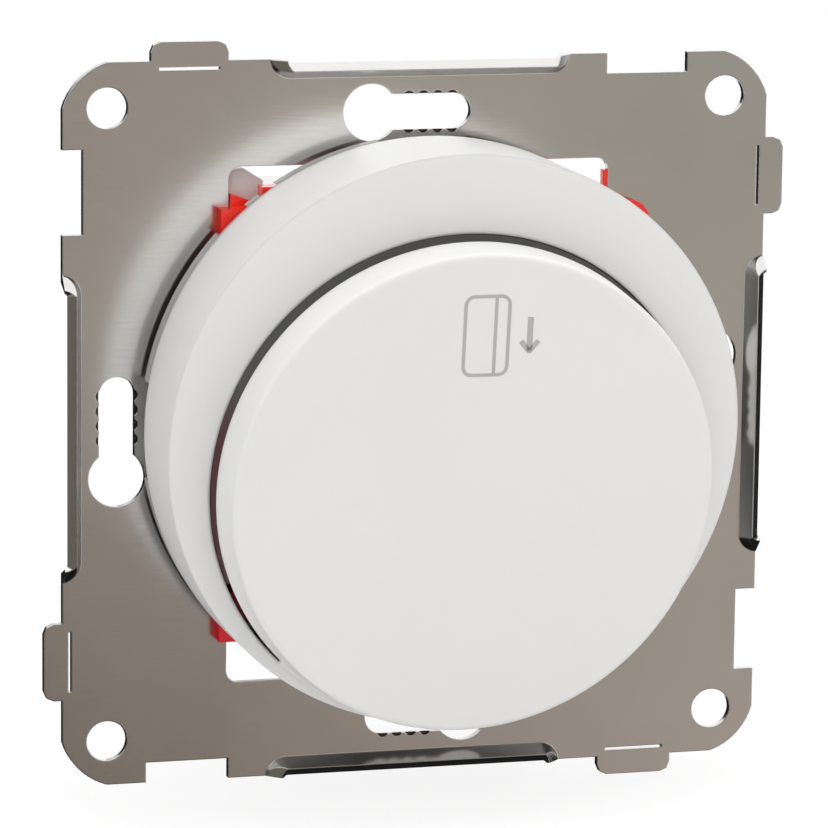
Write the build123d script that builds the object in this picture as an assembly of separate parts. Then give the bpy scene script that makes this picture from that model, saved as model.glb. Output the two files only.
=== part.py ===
# Hotel key card switch: flush switch insert on a steel carrier plate, with a round card cover.
# Millimetres. The plate lies in the XZ plane, its back on Y = 0. The front faces -Y and +Z is up.
from math import atan, cos, degrees, radians, sin
import os

from build123d import *

os.makedirs("parts", exist_ok=True)

# Carrier plate
PLATE_SIDE = 71.0
PLATE_T = 0.8
CORNER_RUN = 4.4
CORNER_MID = 33.85
HOLE_PITCH = 62.2
HOLE_R = 2.0
TAB_HEIGHT = 1.85
TAB_W = 7.65
TAB_CENTRE = 23.03
TAB_CORNER = 1.0
NOTCH_DEPTH = 2.0
NOTCH_W = 8.25
SLIT_W = 6.0
SLIT_H = 0.3
SLIT_Z = 34.75
FLANGE_HALF = 15.1
FLANGE_RISE = 1.95
FLANGE_LEAN = 0.79
FLANGE_RIM_DROP = 0.8
FLANGE_BASE_T = 0.8
FLANGE_CORNER_R = 2.0
FLANGE_ROOT = 1.84
KEYHOLE_OFFSET = 30.15
KEYHOLE_R = 2.8
KEYHOLE_X = 5.0
SLOT_HALF = 1.75
SCALLOP_R = 0.62
SCALLOP_START = -1.2
SCALLOP_DEPTH = 0.3
SCALLOP_PITCH = 1.45
WINDOW_HALF_X = 19.15
WINDOW_Z_LOW = -25.85
WINDOW_Z_HIGH = 25.2
WINDOW_R = 1.2

# Locking frame on the front of the plate
LOCK_LEFT = -20.35
LOCK_RIGHT = 23.0
LOCK_OVERLAP = 0.3
LOCK_T = 2.0
LOCK_CORNER_R = 2.4
LOCK_RIB_T = 0.45
LOCK_RIB_LAP = 3.0
RIB_GAP = 0.05
LOCK_OPEN_X = 16.6
LOCK_OPEN_Z = 17.0
ARM_INSET = 0.9
ARM_T = 1.4
ARM_TOP = 7.4
ARM_HALF_DEG = 6.0
ARM_DEG = 46.5
ARM_BARB = 0.5
HOOK_LEFT = -16.3
HOOK_W = 6.3
HOOK_RISE = 2.1
HOOK_T = 1.15
HOOK_REAR = 3.0
HOOK_STEP = 1.1
HOOK_NIB = 0.5
WEB_LEFT = -19.0
WEB_RIGHT = -15.6
WEB_RISE = 1.3

# Round card cover, with the card pocket between its ring and its disc
COVER_R = 28.25
COVER_REAR = 3.7
COVER_WALL = 1.7
FLOOR_D = 11.3
FLOOR_SLOPE = 0.17
POCKET_EDGE = 0.41
POCKET_SLOPE = 0.135
OPEN_R = 24.29
OPEN_D = 15.04
POCKET_Z = OPEN_R + POCKET_EDGE - COVER_R
CARD_GAP = 0.34
DISC_DRAFT = 0.4
DISC_R = OPEN_R - CARD_GAP
DISC_FRONT_R = DISC_R - DISC_DRAFT
RIM_D = 14.4
RIM_SLOPE = 0.115
DISC_REAR_D = 16.31
DISC_FRONT_D = 21.7
DISC_WALL = 1.6
DISC_SKIN = 1.8
DISC_EDGE_R = 0.5
DISC_SPAN = 14.0
BRIDGE_RISE = 1.5
BRIDGE_HALF_DEG = 44.0

# Collar under the cover
COLLAR_R = COVER_R - 0.2
COLLAR_REAR = 1.0
SKIRT_T = 0.9
WEB_T = 1.0
SPIGOT_TOP = 6.2
COLLAR_NOTCH_HALF = 4.8
COLLAR_ROOM = 0.3
GROOVE_LOW = 2.15
GROOVE_W = 0.3

# Card guide and lever
GUIDE_FACE_D = 14.75
GUIDE_T = 1.4
GUIDE_GAP = 0.1
TOWER_HALF_X = 13.5
TOWER_LOW = -13.0
TOWER_INSET = 5.24
TOWER_HIGH = POCKET_Z + OPEN_R - TOWER_INSET
TOWER_WALL = 1.4
EAR_IN = 4.4
EAR_OUT = 6.0
EAR_AROUND = 2.4
PIVOT_D = 8.0
PIVOT_Z = 11.5
PIN_R = 1.0
HUB_R = 2.2
RUN_CLEARANCE = 0.06
LEVER_HALF = 2.8
NOSE_D = 17.2
NOSE_HALF_Z = 0.6
NOSE_ROOT_Z = 7.5
LEVER_FOOT_D = 13.6
LEVER_FOOT_Z = -2.8
LEVER_ROOM = 0.6
LEVER_SLOT_D = 11.0
LEVER_SLOT_LOW = -5.2
LEVER_SLOT_HIGH = 8.6

# Switch insert behind the plate
HOUSING_HALF_X = 18.6
HOUSING_HALF_Z = 21.0
HOUSING_WALL = 1.6
HOUSING_DEPTH = 23.0
HOUSING_EDGE_R = 1.0
SPRING_SEAT = HOUSING_DEPTH - 6.0
SEAT_R = 3.4
LOCK_HALF_Z = HOUSING_HALF_Z + LOCK_OVERLAP
HOOK_TOP = LOCK_HALF_Z + HOOK_RISE
ARM_R = COVER_R - COVER_WALL - ARM_INSET
EAR_RISE = 3.9
CAP_T = 1.5
BOSS_HALF_X = 15.0
BOSS_HALF_Z = LOCK_OPEN_Z - 1.2
BOSS_RISE = 3.4
FIT_GAP = 0.05
SLIDE_GAP = 0.15

# Plunger and contacts
PLUNGER_Z = -1.0
PLUNGER_HALF_X = 3.0
PLUNGER_HALF_Z = 2.0
DOME_R = 2.0
LEVER_GAP = 0.15
PLUNGER_REAR = 9.0
PLUNGER_TRAVEL = 2.3
PLUNGER_BODY_HALF_Z = 3.3
STOP_HALF_X = 4.6
STOP_HALF_Z = 3.8
STOP_T = 1.4
BRIDGE_HALF = 10.0
BRIDGE_T = 0.8
BRIDGE_HALF_Z = 1.9
BRIDGE_WINDOW_Y = 3.6
BRIDGE_FRONT_Y = 6.6
TIP_R = 1.5
TIP_T = 0.8
TIP_X = 8.2
CONTACT_END_GAP = 0.05
STRIP_T = 0.8
SPRING_WIRE_R = 0.3
RETURN_COIL_R = 2.2
PRESSURE_COIL_R = 1.4
PRESSURE_WIRE_R = 0.2

# Terminals
TERMINAL_X = 11.0
TERMINAL_Z = 7.0 - HOUSING_HALF_Z
CAGE_HALF_X = 4.5
CAGE_HALF_Z = 4.2
CAGE_REAR = HOUSING_DEPTH - 3.5
LEAF_HALF = 3.2
WIRE_HOLE_R = 1.6
WIRE_HOLE_OFFSET = 2.2
WIRE_HOLE_Z = TERMINAL_Z - 1.6
KEY_HALF_X = 1.7
KEY_HALF_Z = 1.2
KEY_Z = TERMINAL_Z + 2.6
KEY_OUT = 1.6
KEY_TIP_Y = HOUSING_DEPTH - 4.1
KEY_WING = 0.7


def front_y(depth):
    """Y of a point that stands this far in front of the plate's front face."""
    return -(PLATE_T + depth)


def raised(sketch, low, high):
    """Sketch on the plate's XZ plane, raised between two depths in front of the plate."""
    return extrude(Plane.XZ.offset(PLATE_T + low) * sketch, high - low)


def block(x0, x1, y0, y1, z0, z1):
    """Box from its low and high corners."""
    centre = Pos((x0 + x1) / 2, (y0 + y1) / 2, (z0 + z1) / 2)
    return centre * Box(x1 - x0, y1 - y0, z1 - z0)


def side_prism(points, x0, x1):
    """Side outline of (depth, z) points, drawn out along X."""
    outline = [(front_y(depth), z) for depth, z in points]
    face = make_face(Plane.YZ.offset(x0) * Polyline(*outline, close=True))
    return extrude(face, x1 - x0, dir=(1, 0, 0))


def under_plane(depth, slope):
    """Everything behind the tilted plane at this depth on the centre line."""
    reach = COVER_R + 17
    outline = [(-5, -reach), (depth - slope * reach, -reach), (depth + slope * reach, reach), (-5, reach)]
    return side_prism(outline, -reach, reach)


def four_sides(shape):
    """The same detail on all four sides, each a clockwise quarter turn on."""
    return [Rot(0, quarter * 90, 0) * shape for quarter in range(4)]


def mirrored(shape):
    """A piece and its mirror image in X."""
    return [shape, mirror(shape, about=Plane.YZ)]


def save(shape, name):
    """Write one node."""
    export_step(shape, f"parts/{name}.step")


# Mounting plate
def plate_sheet():
    """Flat sheet with clipped corners, tabs, notches and a step where each flange starts."""
    half = PLATE_SIDE / 2
    run = half - CORNER_RUN
    top_side = Polyline(
        (-run, half),
        (-TAB_CENTRE - TAB_W / 2, half),
        (-TAB_CENTRE - TAB_W / 2, half + TAB_HEIGHT - TAB_CORNER),
        (-TAB_CENTRE - TAB_W / 2 + 0.3 * TAB_CORNER, half + TAB_HEIGHT - 0.3 * TAB_CORNER),
        (-TAB_CENTRE - TAB_W / 2 + TAB_CORNER, half + TAB_HEIGHT),
        (-TAB_CENTRE + TAB_W / 2 - TAB_CORNER, half + TAB_HEIGHT),
        (-TAB_CENTRE + TAB_W / 2 - 0.3 * TAB_CORNER, half + TAB_HEIGHT - 0.3 * TAB_CORNER),
        (-TAB_CENTRE + TAB_W / 2, half + TAB_HEIGHT - TAB_CORNER),
        (-TAB_CENTRE + TAB_W / 2, half),
        (TAB_CENTRE - NOTCH_W / 2, half),
        (TAB_CENTRE - NOTCH_W / 2, half - NOTCH_DEPTH),
        (TAB_CENTRE + NOTCH_W / 2, half - NOTCH_DEPTH),
        (TAB_CENTRE + NOTCH_W / 2, half),
        (run, half),
    )
    corner = ThreePointArc((run, half), (CORNER_MID, CORNER_MID), (half, run))
    edges = []
    for quarter in range(4):
        turn = Rot(0, 0, -90 * quarter)
        edges += (turn * top_side).edges()
        edges += (turn * corner).edges()
    return raised(make_face(edges), -PLATE_T, 0)


def lip_section(x):
    """Section of the leaning flange at this X, with a little of the sheet that it grows from."""
    root = PLATE_SIDE / 2 - FLANGE_ROOT
    rim = root + FLANGE_LEAN
    outline = [
        (-PLATE_T, root - 0.5), (0, root - 0.5), (0, root), (FLANGE_RISE, rim),
        (FLANGE_RISE - FLANGE_RIM_DROP, rim + FLANGE_BASE_T), (-PLATE_T, root + FLANGE_BASE_T),
    ]
    points = [(front_y(depth), z) for depth, z in outline]
    return make_face(Plane.YZ.offset(x) * Polyline(*points, close=True))


def flange(sheet):
    """Bends one stiffening flange forward at the top side. It curves out to the edge and fades at its ends."""
    half = PLATE_SIDE / 2
    straight = FLANGE_HALF - FLANGE_CORNER_R
    bend_z = half - FLANGE_ROOT + FLANGE_CORNER_R
    reach = 10.0
    outline = RectangleRounded(2 * FLANGE_HALF, reach, FLANGE_CORNER_R)
    sheet -= raised(Pos(0, half - FLANGE_ROOT + reach / 2) * outline, -PLATE_T - 1, 1)
    lip = extrude(lip_section(-straight), 2 * straight, dir=(1, 0, 0))
    rim_y = front_y(FLANGE_RISE + 0.1)
    for side in (-1, 1):
        turned = revolve(lip_section(side * straight), Axis((side * straight, 0, bend_z), (0, 1, 0)), 360)
        low, high = sorted((side * straight, side * (half - CORNER_RUN)))
        lip += turned & block(low, high, rim_y, 0, 0, half)
        ramp = make_face(Polyline(
            (side * straight, rim_y), (side * (FLANGE_HALF + 0.1), front_y(0)), (side * (FLANGE_HALF + 0.1), rim_y),
            close=True
        ))
        lip -= extrude(ramp, half + 1)
    return sheet + lip


def keyhole():
    """Wide round entry and a slot, with shallow stamped scallops along both edges."""
    slot_end = KEYHOLE_X - SLOT_HALF
    shape = Pos(-KEYHOLE_X, 0) * Circle(KEYHOLE_R)
    shape += Pos((slot_end - KEYHOLE_X) / 2, 0) * Rectangle(slot_end + KEYHOLE_X, 2 * SLOT_HALF)
    shape += Pos(slot_end, 0) * Circle(SLOT_HALF)
    hole = raised(Pos(0, KEYHOLE_OFFSET) * shape, -PLATE_T - 1, 1)
    for step in range(4):
        for side in (-1, 1):
            row = KEYHOLE_OFFSET + side * (SLOT_HALF - SCALLOP_R / 2)
            spot = Pos(SCALLOP_START + step * SCALLOP_PITCH, row)
            hole += raised(spot * Circle(SCALLOP_R), -SCALLOP_DEPTH, 1)
    return hole


plate = plate_sheet()
for quarter in range(4):
    plate = Rot(0, 90, 0) * flange(plate)
slit = raised(Pos(-TAB_CENTRE, SLIT_Z) * Rectangle(SLIT_W, SLIT_H), -PLATE_T - 1, 1)
hole = raised(Pos(HOLE_PITCH / 2, HOLE_PITCH / 2) * Circle(HOLE_R), -PLATE_T - 1, 1)
for cut in four_sides(keyhole()) + four_sides(slit) + four_sides(hole):
    plate -= cut
window_z = (WINDOW_Z_HIGH + WINDOW_Z_LOW) / 2
window = RectangleRounded(2 * WINDOW_HALF_X, WINDOW_Z_HIGH - WINDOW_Z_LOW, WINDOW_R)
plate -= raised(Pos(0, window_z) * window, -PLATE_T - 1, 1)
save(plate, "mounting_plate")

# Locking frame, with four sprung arms that hold the cover and hooks onto the insert
lock_w = LOCK_RIGHT - LOCK_LEFT
lock = raised(Pos((LOCK_LEFT + LOCK_RIGHT) / 2, 0) * Rectangle(lock_w, 2 * LOCK_HALF_Z), 0, LOCK_T)
right_corners = lock.edges().filter_by(Axis.Y).group_by(Axis.X)[-1]
lock = fillet(right_corners, LOCK_CORNER_R)
lock -= raised(Rectangle(2 * LOCK_OPEN_X, 2 * LOCK_OPEN_Z), -1, LOCK_T + 1)
arm_ring = raised(Circle(ARM_R) - Circle(ARM_R - ARM_T), LOCK_T, ARM_TOP)
barb = raised(Circle(ARM_R + ARM_BARB) - Circle(ARM_R - ARM_T), SPIGOT_TOP + 0.1, ARM_TOP)
arms = arm_ring + barb
arm_angle = radians(ARM_DEG)
for sx in (-1, 1):
    for sz in (-1, 1):
        spot = Pos(sx * ARM_R * cos(arm_angle), front_y(ARM_TOP / 2), sz * ARM_R * sin(arm_angle))
        turn = Rot(0, sx * sz * degrees(arm_angle), 0)
        lock += arms & (spot * turn * Box(9, 12, 2 * ARM_R * sin(radians(ARM_HALF_DEG))))
hook_low = HOUSING_HALF_Z + FIT_GAP
lug = block(HOOK_LEFT, HOOK_LEFT + HOOK_W, front_y(LOCK_T), front_y(0), LOCK_HALF_Z - 1, HOOK_TOP)
hook = block(
    HOOK_LEFT + HOOK_STEP, HOOK_LEFT + HOOK_W, front_y(LOCK_T),
    HOOK_REAR, hook_low, hook_low + HOOK_T
)
hook += block(
    HOOK_LEFT + HOOK_STEP, HOOK_LEFT + HOOK_W, HOOK_REAR - 1,
    HOOK_REAR, hook_low - HOOK_NIB, hook_low + HOOK_NIB
)
lock += lug + hook
lock += Rot(0, 180, 0) * hook
corner_web = make_face(Polyline(
    (WEB_LEFT, LOCK_HALF_Z - 1), (WEB_LEFT, LOCK_HALF_Z + WEB_RISE), (WEB_RIGHT, LOCK_HALF_Z),
    (WEB_RIGHT, LOCK_HALF_Z - 1), close=True
))
lock += raised(corner_web, -PLATE_T, 0.2) - block(-30, 30, -5, 5, 0, HOUSING_HALF_Z + FIT_GAP)
lock += block(
    WINDOW_HALF_X - RIB_GAP - LOCK_RIB_T, WINDOW_HALF_X - RIB_GAP, -PLATE_T, 0,
    LOCK_HALF_Z - LOCK_RIB_LAP, WINDOW_Z_HIGH - WINDOW_R
)
save(lock, "lock_frame")

# Collar that carries the cover's rim
skirt_in = COLLAR_R - SKIRT_T
spigot_r = COVER_R - COVER_WALL - 0.1
web_in = ARM_R + 0.1
collar = raised(Circle(COLLAR_R) - Circle(skirt_in), COLLAR_REAR, COVER_REAR)
collar += raised(Circle(COLLAR_R) - Circle(web_in), COVER_REAR - WEB_T, COVER_REAR)
collar += raised(Circle(spigot_r) - Circle(web_in), COVER_REAR, SPIGOT_TOP)
collar -= raised(Circle(COLLAR_R + 1) - Circle(COLLAR_R - GROOVE_W), GROOVE_LOW, GROOVE_LOW + GROOVE_W)
for notch in four_sides(block(-COLLAR_NOTCH_HALF, COLLAR_NOTCH_HALF, front_y(COVER_REAR), 0, spigot_r, COLLAR_R + 1)):
    collar -= notch
collar -= block(
    LOCK_LEFT - COLLAR_ROOM, LOCK_RIGHT + COLLAR_ROOM, front_y(LOCK_T + COLLAR_ROOM),
    0, -LOCK_HALF_Z - COLLAR_ROOM, LOCK_HALF_Z + COLLAR_ROOM
)
collar -= block(
    HOOK_LEFT - COLLAR_ROOM, HOOK_LEFT + HOOK_W + COLLAR_ROOM, front_y(LOCK_T + COLLAR_ROOM),
    0, 0, HOOK_TOP + COLLAR_ROOM
)
save(collar, "cover_collar")


# Card cover: ring, bridge and disc in one moulding
def tilted_cone(low_r, high_r, depth, height):
    """Cone square to the card, ending at the tilted plane of this depth."""
    tilt = degrees(atan(POCKET_SLOPE))
    spot = Pos(0, front_y(depth + POCKET_SLOPE * POCKET_Z), POCKET_Z)
    return spot * Rot(90 + tilt, 0, 0) * Pos(0, 0, -height / 2) * Cone(low_r, high_r, height)


def pocket_round(radius):
    """Round column on the pocket's centre, through the whole cover."""
    return raised(Pos(0, POCKET_Z) * Circle(radius), 0, 30)


def tilted_ellipse(radius, middle, depth, slope):
    """Edge of a round column of this radius, where the tilted plane of this depth cuts it."""
    tilt = degrees(atan(slope))
    spot = Pos(0, front_y(depth + slope * middle), middle)
    return spot * Rot(90 + tilt, 0, 0) * Ellipse(radius, radius / cos(radians(tilt)))


cover_round = raised(Circle(COVER_R), COVER_REAR, 30)
rim_edge = tilted_ellipse(COVER_R, 0, RIM_D, RIM_SLOPE)
pocket_edge = tilted_ellipse(OPEN_R, POCKET_Z, OPEN_D, POCKET_SLOPE)
ring = (cover_round & under_plane(RIM_D, RIM_SLOPE)) + loft([rim_edge, pocket_edge], ruled=True)
ring -= raised(Circle(COVER_R - COVER_WALL), 0, 30) & under_plane(RIM_D - COVER_WALL, RIM_SLOPE)
ring -= pocket_round(OPEN_R) - under_plane(FLOOR_D, FLOOR_SLOPE)

disc_mid = (DISC_REAR_D + DISC_FRONT_D) / 2
disc_taper = (DISC_R - DISC_FRONT_R) / (DISC_FRONT_D - DISC_REAR_D) * DISC_SPAN / 2
disc_r_mid = (DISC_R + DISC_FRONT_R) / 2


def disc_cone(inset):
    """The disc's drafted column, this far inside its flank."""
    cone = Cone(disc_r_mid + disc_taper - inset, disc_r_mid - disc_taper - inset, DISC_SPAN)
    spot = Pos(0, front_y(disc_mid + POCKET_SLOPE * POCKET_Z), POCKET_Z)
    return spot * Rot(90, 0, 0) * cone


disc = (disc_cone(0) & under_plane(DISC_FRONT_D, POCKET_SLOPE)) - under_plane(DISC_REAR_D, POCKET_SLOPE)
front_rim = disc.faces().sort_by(Axis.Y)[0].edges()
disc = fillet(front_rim, DISC_EDGE_R)
hollow = disc_cone(DISC_WALL) & under_plane(DISC_FRONT_D - DISC_SKIN, POCKET_SLOPE)
disc -= hollow

wedge_reach = COVER_R + 12
wedge = make_face(Polyline(
    (0, 0),
    (-wedge_reach * sin(radians(BRIDGE_HALF_DEG)), -wedge_reach * cos(radians(BRIDGE_HALF_DEG))),
    (wedge_reach * sin(radians(BRIDGE_HALF_DEG)), -wedge_reach * cos(radians(BRIDGE_HALF_DEG))),
    close=True,
))
wedge = raised(Pos(0, POCKET_Z) * wedge, 0, 30)
bridge = tilted_cone(OPEN_R + 0.35, DISC_R - 0.1, OPEN_D + BRIDGE_RISE, BRIDGE_RISE)
bridge += pocket_round(OPEN_R + 0.4) & under_plane(OPEN_D, POCKET_SLOPE)
bridge = (bridge & wedge & cover_round) - under_plane(FLOOR_D, FLOOR_SLOPE)
bridge -= pocket_round(DISC_R - DISC_WALL)
save(ring + disc + bridge, "card_cover")

# Card guide: plate behind the card, on a square tower with two ears for the lever's pin
guide_plate = pocket_round(OPEN_R - GUIDE_GAP) & under_plane(GUIDE_FACE_D, POCKET_SLOPE)
guide_plate -= under_plane(GUIDE_FACE_D - GUIDE_T, POCKET_SLOPE)
guide_plate -= block(-COVER_R, COVER_R, -COVER_R, 0, -COVER_R - 10, TOWER_LOW)
tower = block(-TOWER_HALF_X, TOWER_HALF_X, -30, front_y(BOSS_RISE), TOWER_LOW, TOWER_HIGH)
tower -= block(
    TOWER_WALL - TOWER_HALF_X, TOWER_HALF_X - TOWER_WALL, -40,
    0, TOWER_LOW + TOWER_WALL, TOWER_HIGH - TOWER_WALL
)
ear_rear = front_y(PIVOT_D - EAR_AROUND)
for ear in mirrored(block(EAR_IN, EAR_OUT, -30, ear_rear, PIVOT_Z - EAR_AROUND, TOWER_HIGH - 1)):
    tower += ear
guide = guide_plate + (tower & under_plane(GUIDE_FACE_D - 0.5, POCKET_SLOPE))
guide -= block(
    -LEVER_HALF - LEVER_ROOM, LEVER_HALF + LEVER_ROOM, -30,
    front_y(LEVER_SLOT_D), LEVER_SLOT_LOW, LEVER_SLOT_HIGH
)
pin_spot = Pos(0, front_y(PIVOT_D), PIVOT_Z)
guide -= pin_spot * Rot(0, 90, 0) * Cylinder(PIN_R, 2 * EAR_OUT + 1)
save(guide, "card_guide")

# Lever pin
save(pin_spot * Rot(0, 90, 0) * Cylinder(PIN_R, 2 * EAR_OUT + 0.6), "lever_pin")

# Card lever: hub, hanging arm and sloped nose
lever = side_prism(
    [
        (PIVOT_D - 1, PIVOT_Z),
        (PIVOT_D + 1, PIVOT_Z),
        (PIVOT_D + 1, NOSE_ROOT_Z),
        (NOSE_D, NOSE_HALF_Z),
        (NOSE_D, -NOSE_HALF_Z),
        (LEVER_FOOT_D, LEVER_FOOT_Z),
        (PIVOT_D - 1, LEVER_FOOT_Z),
    ],
    -LEVER_HALF,
    LEVER_HALF,
)
lever += pin_spot * Rot(0, 90, 0) * Cylinder(HUB_R, 2 * LEVER_HALF)
lever -= pin_spot * Rot(0, 90, 0) * Cylinder(PIN_R + RUN_CLEARANCE, 3 * LEVER_HALF)
save(lever, "card_lever")

# Insert housing
housing = block(
    -HOUSING_HALF_X, HOUSING_HALF_X, -PLATE_T, HOUSING_DEPTH, -HOUSING_HALF_Z, HOUSING_HALF_Z
)
rear_edges = housing.edges().group_by(Axis.Y)[-1]
housing = fillet(rear_edges, HOUSING_EDGE_R)
in_x = HOUSING_HALF_X - HOUSING_WALL
in_z = HOUSING_HALF_Z - HOUSING_WALL
in_rear = HOUSING_DEPTH - HOUSING_WALL
housing -= block(-in_x, in_x, -PLATE_T - 1, in_rear, -in_z, in_z)
seat_spot = Pos(0, (SPRING_SEAT + in_rear) / 2, PLUNGER_Z) * Rot(90, 0, 0)
housing += seat_spot * Cylinder(SEAT_R, in_rear - SPRING_SEAT)
ear_low = in_z - 0.5
ear_top = HOUSING_HALF_Z + EAR_RISE
ear_outline = make_face(Polyline(
    (-19, ear_low), (-19, ear_top - 0.7), (-18.65, ear_top - 0.2), (-18.1, ear_top), (-17.5, ear_top),
    (-15.6, ear_top - 1.2), (-15.6, ear_low), close=True
))
housing += raised(ear_outline, -PLATE_T - 3, -PLATE_T) - block(-in_x, in_x, -5, 5, -in_z, in_z)
for turn in (0, 180):
    housing -= Rot(0, turn, 0) * block(
        HOOK_LEFT + 1, HOOK_LEFT + HOOK_W + 0.1, HOOK_REAR - 1.1,
        HOOK_REAR + 0.1, HOUSING_HALF_Z - 0.6, HOUSING_HALF_Z + 1
    )
catch = make_face(Polyline((18, 0.1), (20.2, 0.1), (20.2, 0.9), (18.6, 4.0), (18, 4.0), close=True))
for piece in mirrored(extrude(Plane.XY.offset(-5) * catch, 10)):
    housing += piece
for shelf in mirrored(block(in_x - 1.2, in_x + 0.5, CAP_T - PLATE_T + FIT_GAP, 3.4, -in_z, in_z)):
    housing += shelf
for sx in (-1, 1):
    for offset in (-WIRE_HOLE_OFFSET, WIRE_HOLE_OFFSET):
        entry = Pos(sx * TERMINAL_X + offset, HOUSING_DEPTH, WIRE_HOLE_Z) * Rot(90, 0, 0)
        housing -= entry * Cylinder(WIRE_HOLE_R, 6)
    key_x = sx * TERMINAL_X
    housing -= block(
        key_x - KEY_HALF_X - SLIDE_GAP, key_x + KEY_HALF_X + SLIDE_GAP, in_rear - 1, HOUSING_DEPTH + 1,
        KEY_Z - KEY_HALF_Z - SLIDE_GAP, KEY_Z + KEY_HALF_Z + SLIDE_GAP
    )
    strip_in_x = (TERMINAL_X - CAGE_HALF_X - 0.6) * sx
    seat = sorted((strip_in_x, sx * (TERMINAL_X - CAGE_HALF_X - 2.0)))
    housing += block(seat[0], seat[1], 12.4, in_rear + 0.5, -in_z - 0.5, TERMINAL_Z + 6)
save(housing, "mechanism_housing")

# Cap that closes the insert, with a raised boss and the plunger's slot
cap = block(
    FIT_GAP - in_x, in_x - FIT_GAP, -PLATE_T, CAP_T - PLATE_T, FIT_GAP - in_z, in_z - FIT_GAP
)
cap += block(-BOSS_HALF_X, BOSS_HALF_X, front_y(BOSS_RISE), 0, -BOSS_HALF_Z, BOSS_HALF_Z)
cap -= block(-12, 12, front_y(BOSS_RISE - 1.4), 5, 4, 13.5)
slot_x = PLUNGER_HALF_X + SLIDE_GAP
slot_z = PLUNGER_HALF_Z + SLIDE_GAP
cap -= block(-slot_x, slot_x, -10, 10, PLUNGER_Z - slot_z, PLUNGER_Z + slot_z)
save(cap, "mechanism_cap")

# Plunger: domed tip, flange behind the cap and a window for the contact bridge
dome_y = front_y(PIVOT_D - 1 - LEVER_GAP) + DOME_R
flange_y = CAP_T - PLATE_T + FIT_GAP
plunger = Pos(0, dome_y, PLUNGER_Z) * Rot(0, 90, 0) * Cylinder(DOME_R, 2 * PLUNGER_HALF_X)
plunger += block(
    -PLUNGER_HALF_X, PLUNGER_HALF_X, dome_y,
    flange_y + 1, PLUNGER_Z - PLUNGER_HALF_Z, PLUNGER_Z + PLUNGER_HALF_Z
)
plunger += block(
    -STOP_HALF_X, STOP_HALF_X, flange_y, flange_y + STOP_T, PLUNGER_Z - STOP_HALF_Z, PLUNGER_Z + STOP_HALF_Z
)
plunger += block(
    -PLUNGER_HALF_X, PLUNGER_HALF_X, flange_y,
    PLUNGER_REAR, PLUNGER_Z - PLUNGER_BODY_HALF_Z, PLUNGER_Z + PLUNGER_BODY_HALF_Z
)
bridge_rear_y = BRIDGE_FRONT_Y + BRIDGE_T
plunger -= block(
    -10, 10, BRIDGE_WINDOW_Y,
    bridge_rear_y + FIT_GAP, PLUNGER_Z - BRIDGE_HALF_Z - 0.1, PLUNGER_Z + BRIDGE_HALF_Z + 0.1
)
save(plunger, "switch_plunger")


def coil(radius, wire_r, y0, y1, turns):
    """Helical spring along Y, its wire between the two ends."""
    height = y1 - y0 - 2 * wire_r
    path = Helix(pitch=height / turns, height=height, radius=radius)
    section = Plane(origin=path @ 0, z_dir=path % 0) * RegularPolygon(wire_r, 6)
    spring = sweep(section, path=path)
    return Pos(0, y1 - wire_r, PLUNGER_Z) * Rot(90, 0, 0) * spring


save(coil(RETURN_COIL_R, SPRING_WIRE_R, PLUNGER_REAR, SPRING_SEAT, 4), "plunger_spring")
save(coil(PRESSURE_COIL_R, PRESSURE_WIRE_R, BRIDGE_WINDOW_Y, BRIDGE_FRONT_Y, 3), "bridge_spring")

# Contact bridge with its silver tips
bar = block(
    -BRIDGE_HALF, BRIDGE_HALF, BRIDGE_FRONT_Y,
    bridge_rear_y, PLUNGER_Z - BRIDGE_HALF_Z, PLUNGER_Z + BRIDGE_HALF_Z
)
bar = fillet(bar.edges().filter_by(Axis.Y), 1.0)
save(bar, "contact_bridge")
moving_tip = Pos(TIP_X, bridge_rear_y + TIP_T / 2, PLUNGER_Z) * Rot(90, 0, 0) * Cylinder(TIP_R, TIP_T)
save(Compound(children=mirrored(moving_tip)), "bridge_tips")

# Fixed contacts, one brass strip with its terminal cage on each side
fixed_tip_y = bridge_rear_y + TIP_T + PLUNGER_TRAVEL + CONTACT_END_GAP
strip_y = fixed_tip_y + TIP_T
fixed_tip = Pos(TIP_X, fixed_tip_y + TIP_T / 2, PLUNGER_Z) * Rot(90, 0, 0) * Cylinder(TIP_R, TIP_T)
save(Compound(children=mirrored(fixed_tip)), "fixed_tips")
cage_low = TERMINAL_Z - CAGE_HALF_Z
cage_high = TERMINAL_Z + CAGE_HALF_Z
cage_in = TERMINAL_X - CAGE_HALF_X
cage_out = TERMINAL_X + CAGE_HALF_X
strip = block(cage_in, cage_out, strip_y, strip_y + STRIP_T, cage_low, PLUNGER_Z + 2.5)
cage = block(cage_in, cage_out, strip_y, CAGE_REAR, cage_low, cage_high)
cage -= block(
    cage_in + STRIP_T, cage_out - STRIP_T, strip_y + STRIP_T,
    CAGE_REAR + 1, cage_low + STRIP_T, cage_high + 1
)
for node, shape in zip(("contact_strip_right", "contact_strip_left"), mirrored(strip + cage)):
    save(shape, node)

# Clamp springs, one bent leaf in each cage
leaf = side_prism(
    [
        (-PLATE_T - y, TERMINAL_Z + z)
        for y, z in (
            (12.3, 4.0),
            (16.7, 4.0),
            (17.1, 3.5),
            (14.9, -3.0),
            (14.5, -2.9),
            (16.6, 3.4),
            (16.5, 3.6),
            (12.3, 3.6),
        )
    ],
    TERMINAL_X - LEAF_HALF,
    TERMINAL_X + LEAF_HALF,
)
leaf_pair = mirrored(leaf)
for node, shape in zip(("clamp_spring_right", "clamp_spring_left"), leaf_pair):
    save(shape, node)

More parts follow.
